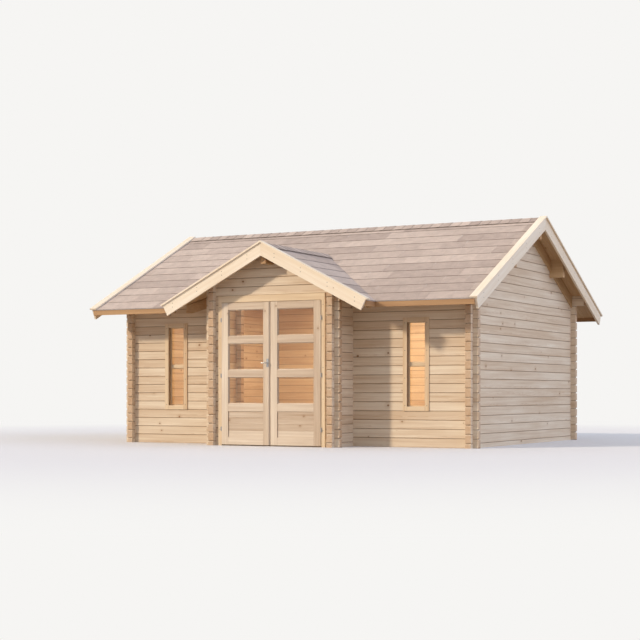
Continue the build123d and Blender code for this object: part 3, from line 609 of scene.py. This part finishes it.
barge_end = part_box("main_barge_boards")[1]
for side in (-1, 1):
    for way in (-1, 1):
        down_slope = Vector((0, way, -math.tan(roof_pitch)))
        for below in barge_screw_rows:
            peak = Vector((side * barge_end.x, ridge_y, barge_end.z - below))
            start = peak + down_slope * barge_screw_first
            add_screws((side, 0, 0), start, down_slope * barge_screw_step, count=5)
bay_barge_low, bay_barge_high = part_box("bay_barge_boards")
for way in (-1, 1):
    down_slope = Vector((way, 0, -math.tan(bay_pitch)))
    for below in bay_screw_rows:
        peak = Vector((0, bay_barge_low.y, bay_barge_high.z - below))
        start = peak + down_slope * bay_screw_first
        add_screws((0, -1, 0), start, down_slope * bay_screw_step, count=4)

# Door and windows
# Frames and leaves of planed spruce, with the grain upright in stiles, jambs and side casings and
# level in rails, heads and panels. Casings are screwed to the logs. Each pane lies in mitred beads.
door_tones = ("#ebddc9", "#a98b6e")
casing_tones = ("#eedbbc", "#c29d72")
stile = 0.1
leaf_joints = (0.199, 0.283, 0.366, 0.45, 0.9, 1.3)
leaf_low, leaf_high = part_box("door_right")
glass_x0 = leaf_low.x + stile
glass_x1 = leaf_high.x - stile
glass_middle = (glass_x0 + glass_x1) / 2
glass_half = (glass_x1 - glass_x0) / 2
leaf_wood = spruce("planed spruce door leaf", "XZY", door_tones, knots=0.7, rails=leaf_joints,
                   opening=(glass_middle, glass_half))
window_x = sum(corner.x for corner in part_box("window_frame_right")) / 2
window_half = 0.124
window_joints = (0.6, 1.5)
window_wood = spruce("planed spruce window frame", "XZY", casing_tones, knots=0.35, rails=window_joints,
                     opening=(window_x, window_half))
finish_with(leaf_wood, "door_left", "door_right")
finish_with(window_wood, "window_frame_left", "window_frame_right")
for name, axes, nodes in (
    ("jambs", "ZXY", ("door_jamb_left", "door_jamb_right")), ("head", "XZY", ("door_head", "threshold")),
):
    finish_with(spruce("planed spruce door " + name, axes, casing_tones, knots=0.35), *nodes)

bead_width = 0.011
bead_depth = 0.010
bead_edge = 0.003


def bead_frame(x0, x1, z0, z1, y, way):
    """Four mitred beads round a pane, on the glass at y and standing out one way along Y."""
    section = [(0, 0), (bead_width, 0), (bead_width, bead_edge), (bead_edge, bead_depth), (0, bead_depth)]
    loops = []
    for inset, out in section:
        depth = y + way * out
        loops.append([(x0 + inset, depth, z0 + inset), (x1 - inset, depth, z0 + inset),
                      (x1 - inset, depth, z1 - inset), (x0 + inset, depth, z1 - inset)])
    count = len(section)
    faces = []
    for k in range(count):
        near, far = 4 * k, 4 * ((k + 1) % count)
        for corner in range(4):
            after = (corner + 1) % 4
            face = (near + corner, near + after, far + after, far + corner)
            faces.append(face if way > 0 else tuple(reversed(face)))
    mesh = bpy.data.meshes.new("beads")
    mesh.from_pydata([point for loop in loops for point in loop], [], faces)
    return add_object("beads", mesh)


door_bead_wood = spruce("planed spruce door beads", "XZY", door_tones, knots=0.0,
                        opening=(glass_middle, glass_half - bead_width))
window_bead_wood = spruce("planed spruce window beads", "XZY", casing_tones, knots=0.0,
                          opening=(window_x, window_half - bead_width))
pane_low = 0.547
pane_high = 1.775
pane_count = 3
pane_bar = 0.091
pane_height = (pane_high - pane_low - (pane_count - 1) * pane_bar) / pane_count
glass_front, glass_back = (corner.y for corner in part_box("door_left_glass"))
for name, body, side in (("door_left_beads", "left_leaf", -1), ("door_right_beads", "right_leaf", 1)):
    x0, x1 = sorted((side * glass_x0, side * glass_x1))
    frames = []
    for pane in range(pane_count):
        z0 = pane_low + pane * (pane_height + pane_bar)
        for y, way in ((glass_front, -1), (glass_back, 1)):
            frames.append(bead_frame(x0, x1, z0, z0 + pane_height, y, way))
    beads = joined(name, frames)
    beads.data.materials.append(door_bead_wood)
    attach(beads, body)
light_low, light_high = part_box("window_glass")
bar_middle = (light_low.z + light_high.z) / 2
bar_half = 0.02
frames = []
for side in (-1, 1):
    x0 = side * window_x - window_half
    x1 = side * window_x + window_half
    frames.append(bead_frame(x0, x1, light_low.z, bar_middle - bar_half, light_low.y, -1))
    frames.append(bead_frame(x0, x1, bar_middle + bar_half, light_high.z, light_low.y, -1))
    frames.append(bead_frame(x0, x1, light_low.z, light_high.z, light_high.y, 1))
window_beads = joined("window_beads", frames)
window_beads.data.materials.append(window_bead_wood)
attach(window_beads, "cabin")

# Screws down the middle of the windows' and the door's side casings
casing_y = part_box("window_frame_right")[0].y
casing_out = 0.152
casing_screw_low = 0.527
casing_screw_step = 0.35
door_casing_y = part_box("door_head")[0].y
door_casing_x = 0.766
door_screw_low = 0.21
door_screw_step = 0.4
for side in (-1, 1):
    for x in (window_x - casing_out, window_x + casing_out):
        start = (side * x, casing_y, casing_screw_low)
        add_screws((0, -1, 0), start, (0, 0, casing_screw_step), count=4)
    start = (side * door_casing_x, door_casing_y, door_screw_low)
    add_screws((0, -1, 0), start, (0, 0, door_screw_step), count=5)
all_screws = joined("screws", screws)
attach(all_screws, "cabin")

# Float glass 4 mm thick: clear and colourless, with sharp reflections
glass, _, shader = new_material("clear float glass")
shader.inputs["Base Color"].default_value = linear("#f6fbf8")
shader.inputs["Roughness"].default_value = 0.01
shader.inputs["IOR"].default_value = 1.45
shader.inputs["Transmission Weight"].default_value = 1.0
finish_with(glass, "door_left_glass", "door_right_glass", "window_glass")

# Hinges and handle
# Turned steel hinge knuckles, and a lever handle of cast and brushed steel on each face of the left
# leaf: a rounded plate with a key cylinder, and a round neck that bends into a tapered lever.

# Stainless steel, brushed: a light grey metal with fine streaks that spread its gloss
steel, tree, shader, streak = bare_metal(
    "brushed stainless steel", (60.0, 1500.0, 1500.0), "#8c8d8f", "#b9babc"
)
rough = add_node(tree, "ShaderNodeMapRange", [streak, 0.3, 0.7, 0.26, 0.42])
tree.links.new(rough.outputs[0], shader.inputs["Roughness"])
finish_with(steel, "door_left_hinges", "door_right_hinges", "frame_hinges")
handle_x = -0.033
handle_height = 1.075
plate_half = (0.015, 0.055)
plate_thickness = 0.005
plate_corner = 0.006
plate_chamfer = 0.0012
lever_out = 0.045
lever_reach = 0.08
key_drop = 0.036
cylinder_half = 0.0085
cylinder_out = 0.0075
cylinder_corner = 0.0084
slot_half = (0.001, 0.004)
slot_out = 0.0079
slot_corner = 0.0009


def plate_mesh(half_x, half_z, thickness, radius, steps):
    """Plate with round corners and a chamfered face, standing on Y = 0 towards -Y."""
    rings = []
    chamfer = min(plate_chamfer, radius / 2)
    for inset, out in ((0, 0), (0, thickness - chamfer), (chamfer, thickness)):
        ring = []
        for corner, (sx, sz) in enumerate(((1, 1), (-1, 1), (-1, -1), (1, -1))):
            for step in range(steps + 1):
                angle = math.pi / 2 * (corner + step / steps)
                x = sx * (half_x - radius) + (radius - inset) * math.cos(angle)
                z = sz * (half_z - radius) + (radius - inset) * math.sin(angle)
                ring.append((x, -out, z))
        rings.append(ring)
    return skinned("plate", rings)


def lever_mesh(sides):
    """Round bar from the plate straight out, round a bend, and along -X to a rounded tip."""
    bend = 0.014
    neck = 0.0078
    path = [(0, 0.0, 0.011), (0, 0.002, 0.011), (0, 0.004, 0.008), (0, lever_out - bend, neck)]
    for step in range(1, 6):
        angle = math.pi / 2 * step / 5
        path.append((-bend * (1 - math.cos(angle)), lever_out - bend + bend * math.sin(angle), neck))
    path += [(-0.04, lever_out, 0.0074), (-0.066, lever_out, 0.007), (-0.0745, lever_out, 0.0064),
             (-0.0785, lever_out, 0.0045), (-lever_reach, lever_out, 0.0018)]
    up = Vector((0, 0, 1))
    rings = []
    for number, (x, out, radius) in enumerate(path):
        before = path[max(number - 1, 0)]
        after = path[min(number + 1, len(path) - 1)]
        sideways = up.cross(Vector((after[0] - before[0], before[1] - after[1], 0)).normalized())
        ring = []
        for step in range(sides):
            angle = 2 * math.pi * step / sides
            spoke = sideways * math.cos(angle) + up * math.sin(angle)
            ring.append(Vector((x, -out, 0)) + spoke * radius)
        rings.append(ring)
    mesh = skinned("lever", rings)
    for face in mesh.polygons:
        face.use_smooth = len(face.vertices) == 4
    return mesh


parts = []
for face_y, way in ((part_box("door_left")[0].y, 1), (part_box("door_left")[1].y, -1)):
    for mesh, low in (
        (plate_mesh(*plate_half, plate_thickness, plate_corner, steps=4), 0),
        (lever_mesh(sides=16), 0),
        (plate_mesh(cylinder_half, cylinder_half, cylinder_out, cylinder_corner, steps=5), -key_drop),
        (plate_mesh(*slot_half, slot_out, slot_corner, steps=2), -key_drop),
    ):
        mesh.transform(Matrix.Translation((0, 0, low)))
        if way < 0:
            mesh.transform(Matrix.Scale(-1, 4, (0, 1, 0)))
            mesh.flip_normals()
        mesh.transform(Matrix.Translation((handle_x, face_y, handle_height)))
        parts.append(add_object("handle part", mesh))
handle = joined("lever_handle", parts)
handle.data.materials.append(steel)
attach(handle, "left_leaf")
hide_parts("door_handle")

# Shingles
# Bitumen shingles on felt, in courses with staggered joints, faced with mineral grit in mixed brown
# greys. Three tabs make a strip, and each course laps the one below. Folded caps cover the ridges.
tab_width = 0.333
course_count = 11
tab_gap = 0.003
felt_top = 0.005
tab_low = 0.0056
tab_high = 0.0098
tab_overlap = 0.0005
tab_wander = 0.0015
strip_tabs = 3
strip_share = 0.82
course = slope_length / course_count


def shingle_courses():
    """Lays tabs in courses. Odd courses are shifted by half a tab. Strips of tabs share a tone."""
    tree, given = new_tree("shingle courses", {
        "Tab": "NodeSocketGeometry", "Tabs": "NodeSocketInt", "Courses": "NodeSocketInt",
        "Tab Width": "NodeSocketFloat", "Course": "NodeSocketFloat", "Strip": "NodeSocketInt",
        "Seed": "NodeSocketInt", "Material": "NodeSocketMaterial",
    })
    index = add_node(tree, "GeometryNodeInputIndex")
    row = add_node(tree, "ShaderNodeMath", [index, given["Tabs"]], operation="DIVIDE")
    row = add_node(tree, "ShaderNodeMath", [row], operation="FLOOR")
    column = add_node(tree, "ShaderNodeMath", [index, given["Tabs"]], operation="MODULO")
    count = add_node(tree, "ShaderNodeMath", [given["Tabs"], given["Courses"]], operation="MULTIPLY")
    points = add_node(tree, "GeometryNodePoints", {"Count": count})
    shift = add_node(tree, "ShaderNodeMath", [row, 2.0], operation="MODULO")
    across = add_node(tree, "ShaderNodeMath", [shift, 0.5, column], operation="MULTIPLY_ADD")
    across = add_node(tree, "ShaderNodeMath", [given["Tabs"], -0.5, across], operation="MULTIPLY_ADD")
    x = add_node(tree, "ShaderNodeMath", [across, given["Tab Width"]], operation="MULTIPLY")
    y = add_node(tree, "ShaderNodeMath", [row, given["Course"]], operation="MULTIPLY")
    spot = add_node(tree, "ShaderNodeCombineXYZ", [x, y])
    jitter = add_node(tree, "FunctionNodeRandomValue", {
        0: (-tab_wander, -tab_wander, 0.0), 1: (tab_wander, tab_wander, 0.0), "ID": index,
        "Seed": given["Seed"],
    }, data_type="FLOAT_VECTOR")
    spot = add_node(tree, "ShaderNodeVectorMath", [spot, jitter], operation="ADD")
    placed = add_node(tree, "GeometryNodeSetPosition", {"Geometry": points, "Position": spot})
    tabs = add_node(tree, "GeometryNodeInstanceOnPoints", {"Points": placed, "Instance": given["Tab"]})
    start = add_node(tree, "FunctionNodeRandomValue", {2: 0.0, 3: 6.0, "ID": row, "Seed": given["Seed"]})
    strip = add_node(tree, "ShaderNodeMath", [column, start.outputs[1]], operation="ADD")
    strip = add_node(tree, "ShaderNodeMath", [strip, given["Strip"]], operation="DIVIDE")
    strip = add_node(tree, "ShaderNodeMath", [strip], operation="FLOOR")
    strip = add_node(tree, "ShaderNodeMath", [row, 50.0, strip], operation="MULTIPLY_ADD")
    tone = 0.0
    for which, share in ((strip, strip_share), (index, 1 - strip_share)):
        chance = add_node(tree, "FunctionNodeRandomValue", {
            2: 0.0, 3: share, "ID": which, "Seed": given["Seed"]})
        tone = add_node(tree, "ShaderNodeMath", [tone, chance.outputs[1]], operation="ADD")
    return finish_tree(tree, tabs, tone, given["Material"])


def tab_mesh():
    """One tab, thicker at its lower edge, with a mark on that edge's cut face."""
    half = tab_width / 2 - tab_gap / 2
    corners = [
        (x, y, z)
        for y, top in ((0, tab_high), (course - tab_overlap, tab_low))
        for x in (-half, half)
        for z in (felt_top, top)
    ]
    mesh = bpy.data.meshes.new("shingle tab")
    faces = [(0, 2, 3, 1), (4, 5, 7, 6), (0, 1, 5, 4), (2, 6, 7, 3), (1, 3, 7, 5), (0, 4, 6, 2)]
    mesh.from_pydata(corners, [], faces)
    edge = mesh.attributes.new("edge", "FLOAT", "FACE")
    edge.data[0].value = 1.0
    return mesh


def felt_sheet(reach, length):
    """Underlay of bitumen felt below the tabs, seen in the gaps between them."""
    section = ((0, 0), (length, 0), (length, felt_top), (0, felt_top))
    mesh = skinned("felt", [[(x, y, z) for y, z in section] for x in (-reach, reach)])
    for name, domain, value in (("tone", "POINT", 0.0), ("edge", "FACE", 1.0)):
        layer = mesh.attributes.new(name, "FLOAT", domain)
        for entry in layer.data:
            entry.value = value
    mesh.materials.append(shingle_material)
    return add_object("felt", mesh)


def bitumen_shingle():
    """Bitumen shingle, pressed with mineral grit: rough, speckled, and darker where it is cut.
    Each grain is about 1 mm, drawn here at 5 mm so that it shows from a distance."""
    material, tree, shader = new_material("mineral faced bitumen shingle")
    place = add_node(tree, "ShaderNodeTexCoord").outputs["Object"]
    tone = add_node(tree, "ShaderNodeAttribute", attribute_name="tone").outputs["Fac"]
    edge = add_node(tree, "ShaderNodeAttribute", attribute_name="edge").outputs["Fac"]
    colour = add_node(tree, "ShaderNodeMix", {0: tone, 6: linear("#ae9d93"), 7: linear("#cdbcb0")},
                      data_type="RGBA").outputs[2]
    for scale, least, most in ((200.0, 0.8, 1.16), (9.0, 0.92, 1.06)):
        grit = add_node(tree, "ShaderNodeTexNoise", {"Vector": place, "Scale": scale, "Detail": 3.0})
        grit = add_node(tree, "ShaderNodeMapRange", [grit, 0.35, 0.65, least, most])
        colour = add_node(tree, "ShaderNodeVectorMath", {0: colour, "Scale": grit}, operation="SCALE")
    colour = add_node(tree, "ShaderNodeMix", {0: edge, 6: colour, 7: linear("#6a5f58")},
                      data_type="RGBA").outputs[2]
    bump = add_node(tree, "ShaderNodeTexNoise", {"Vector": place, "Scale": 400.0, "Detail": 2.0})
    bump = add_node(tree, "ShaderNodeBump", {"Strength": 0.5, "Distance": 0.001, "Height": bump})
    tree.links.new(colour, shader.inputs["Base Color"])
    tree.links.new(bump.outputs[0], shader.inputs["Normal"])
    shader.inputs["Roughness"].default_value = 0.92
    return material


shingle_tree = shingle_courses()
shingle_material = bitumen_shingle()
tab = tab_mesh()


def slope_of_shingles(turn, pitch, eave, length, tabs, seed, planes):
    """Felt and tabs of one slope, cut off at its edges."""
    courses = grown("courses", shingle_tree, tab.copy(), {
        "Tabs": tabs, "Courses": math.ceil(length / course), "Tab Width": tab_width, "Course": course,
        "Strip": strip_tabs, "Seed": seed, "Material": shingle_material,
    })
    made = joined("slope", [courses, felt_sheet(tabs * tab_width / 2, length)])
    made.data.transform(slope_frame(turn, pitch, eave, shingle_thickness))
    trim(made, planes)
    return made


cap_step = 0.145
cap_length = 0.19
cap_half = 0.15
cap_thickness = 0.004
cap_crown = 0.02
cap_lifts = (0.0005, 0.005)


def cap_mesh(pitch):
    """Folded cap along X over a ridge, with a rounded crown, raised at its far end over the next one."""
    corners = []
    for x, lift in zip((0, cap_length), cap_lifts):
        for top in (0, cap_thickness):
            for y in (-cap_half, -cap_crown, 0, cap_crown, cap_half):
                fall = (abs(y) or 0.35 * cap_crown) * math.tan(pitch)
                corners.append((x, y, (lift + top) / math.cos(pitch) - fall))
    faces = []
    for k in range(4):
        faces.append((k, k + 1, k + 11, k + 10))
        faces.append((k + 5, k + 15, k + 16, k + 6))
        faces.append((k, k + 5, k + 6, k + 1))
        faces.append((k + 10, k + 11, k + 16, k + 15))
    faces.append((0, 10, 15, 5))
    faces.append((4, 9, 19, 14))
    mesh = bpy.data.meshes.new("ridge cap")
    mesh.from_pydata(corners, [], faces)
    edge = mesh.attributes.new("edge", "FLOAT", "FACE")
    for face in mesh.polygons:
        level = abs(face.normal.z) < 0.3
        edge.data[face.index].value = 1.0 if level else 0.0
    return mesh


bay_corner_x = bay_high.x - shingle_lip
valley_apex = Vector((0, bay_high.y, 0))
valley_foot_y = roof_low.y + shingle_lip
right_valley = Vector((valley_apex.y - valley_foot_y, bay_corner_x, 0)).normalized()
left_valley = Vector((-right_valley.x, right_valley.y, 0))
gable_planes = [((side * roof_high.x, 0, 0), (side, 0, 0)) for side in (-1, 1)]
ridge_front = ((0, ridge_y, 0), (0, 1, 0))
ridge_back = ((0, ridge_y, 0), (0, -1, 0))
main_tabs = 20
bay_tabs = 24
half_seam = 0.0001
slopes = []
for side, valley in ((1, right_valley), (-1, left_valley)):
    seam = ((side * half_seam, 0, 0), (-side, 0, 0))
    slopes.append(slope_of_shingles(
        0, roof_pitch, eave_front, slope_length, main_tabs, seed=4,
        planes=gable_planes + [ridge_front, (valley_apex, -valley), seam],
    ))
slopes.append(slope_of_shingles(
    math.pi, roof_pitch, eave_back, slope_length, main_tabs, seed=9, planes=gable_planes + [ridge_back]
))
cap_setback = 0.1
ridge_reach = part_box("main_barge_caps")[1].x - cap_setback
cap_count = int(2 * ridge_reach / cap_step)
ridge_caps = grown("ridge caps", row_tree, cap_mesh(roof_pitch), {
    "Count": cap_count, "Start": (-cap_count * cap_step / 2, ridge_y, roof_high.z),
    "Step": (cap_step, 0, 0), "Seed": 21, "Material": shingle_material,
})
trim(ridge_caps, [((side * ridge_reach, 0, 0), (side, 0, 0)) for side in (-1, 1)])
slopes.append(ridge_caps)
main_roof = joined("main_roof_shingles", slopes)
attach(main_roof, "cabin")
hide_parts("main_shingles")

slopes = []
for side, valley in ((1, right_valley), (-1, left_valley)):
    slopes.append(slope_of_shingles(
        side * math.pi / 2, bay_pitch, Vector((side * bay_high.x, 0, bay_eave_z)), bay_slope_length,
        bay_tabs, seed=12 + side,
        planes=[((0, bay_low.y, 0), (0, -1, 0)), (valley_apex, valley), (centre, (-side, 0, 0))],
    ))
bay_cap_count = 13
bay_caps = grown("bay ridge caps", row_tree, cap_mesh(bay_pitch), {
    "Count": bay_cap_count, "Start": (0, 0, 0), "Step": (cap_step, 0, 0), "Seed": 22,
    "Material": shingle_material,
})
bay_caps.data.transform(Matrix.Rotation(-math.pi / 2, 4, "Z"))
bay_caps.data.transform(Matrix.Translation((0, valley_apex.y, bay_high.z)))
cap_foot_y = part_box("bay_barge_caps")[1].y
slope_up = slope_frame(0, roof_pitch, eave_front, 0).to_3x3() @ Vector((0, 0, 1))
trim(bay_caps, [((0, cap_foot_y, 0), (0, -1, 0)), (eave_front, -slope_up)])
slopes.append(bay_caps)
bay_roof = joined("bay_roof_shingles", slopes)
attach(bay_roof, "cabin")
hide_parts("bay_shingles")

# Ground, light and camera
# A matt pale floor that fades into the backdrop, a low key light from the front left, a wide weak
# fill from the right, an even light all round, and a warm light inside.
ground_reach = 60.0
fade_from = 6.0
fade_to = 14.0
backdrop_colour = linear("#f6f5f3")


def seen_rays(tree):
    """1 for what the eye sees, straight, mirrored or through glass, and 0 for bounced light."""
    rays = add_node(tree, "ShaderNodeLightPath").outputs
    seen = rays["Is Camera Ray"]
    for kind in ("Is Glossy Ray", "Is Transmission Ray"):
        seen = add_node(tree, "ShaderNodeMath", [seen, rays[kind]], operation="ADD", use_clamp=True)
    return seen


ground = bpy.data.meshes.new("ground")
corners = [(x, y, 0) for x, y in ((-1, -1), (1, -1), (1, 1), (-1, 1))]
ground.from_pydata(corners, [], [(0, 1, 2, 3)])
ground.transform(Matrix.Scale(ground_reach, 4))
floor = add_object("ground", ground)
floor_material, tree, shader = new_material("pale matt floor")
shader.inputs["Roughness"].default_value = 0.9
seen = seen_rays(tree)
colour = add_node(tree, "ShaderNodeMix", {0: seen, 6: linear("#a3968a"), 7: linear("#e1e1e3")},
                  data_type="RGBA").outputs[2]
tree.links.new(colour, shader.inputs["Base Color"])
away = add_node(tree, "ShaderNodeTexCoord").outputs["Object"]
away = add_node(tree, "ShaderNodeVectorMath", [away], operation="LENGTH").outputs["Value"]
away = add_node(tree, "ShaderNodeMapRange", [away, fade_from, fade_to, 0.0, 1.0],
                interpolation_type="SMOOTHSTEP")
fade = add_node(tree, "ShaderNodeMath", [away, seen], operation="MULTIPLY")
glow = add_node(tree, "ShaderNodeEmission", {"Color": backdrop_colour, "Strength": 1.0})
choice = add_node(tree, "ShaderNodeMixShader", [fade, shader, glow])
tree.links.new(choice.outputs[0], tree.nodes["Material Output"].inputs["Surface"])
ground.materials.append(floor_material)

world = bpy.data.worlds.new("studio")
bpy.context.scene.world = world
world.use_nodes = True
tree = world.node_tree
sky = tree.nodes["Background"]
sky.inputs["Color"].default_value = linear("#ecedf3")
sky.inputs["Strength"].default_value = 0.74
backdrop = add_node(tree, "ShaderNodeBackground", {"Color": backdrop_colour, "Strength": 1.0})
choice = add_node(tree, "ShaderNodeMixShader", [seen_rays(tree), sky, backdrop])
tree.links.new(choice.outputs[0], tree.nodes["World Output"].inputs["Surface"])

for name, energy, spread, colour, way in (
    ("key", 2.4, 4, "#ffedd4", (0.607, 0.673, -0.423)),
    ("fill", 1.2, 60, "#cfddff", (-0.95, -0.02, -0.45)),
):
    light = bpy.data.lights.new(name, "SUN")
    light.energy = energy
    light.angle = math.radians(spread)
    light.color = linear(colour)[:3]
    lamp = add_object(name, light)
    lamp.rotation_euler = Vector(way).to_track_quat("-Z", "Y").to_euler()

light = bpy.data.lights.new("room light", "AREA")
light.energy = 105
light.size = 2.8
light.color = linear("#ffdfb8")[:3]
room_light = add_object("room light", light)
room_light.location = (0, 0.1, 2.05)
room_light.visible_camera = False

lens = bpy.data.cameras.new("camera")
lens.lens = 82.62
lens.shift_y = 0.1134
camera = add_object("camera", lens)
camera.location = (9.443, -18.789, 0.693)
camera.rotation_euler = (math.radians(90), 0, math.radians(27.963))
bpy.context.scene.camera = camera

bpy.context.scene.view_settings.view_transform = "Standard"
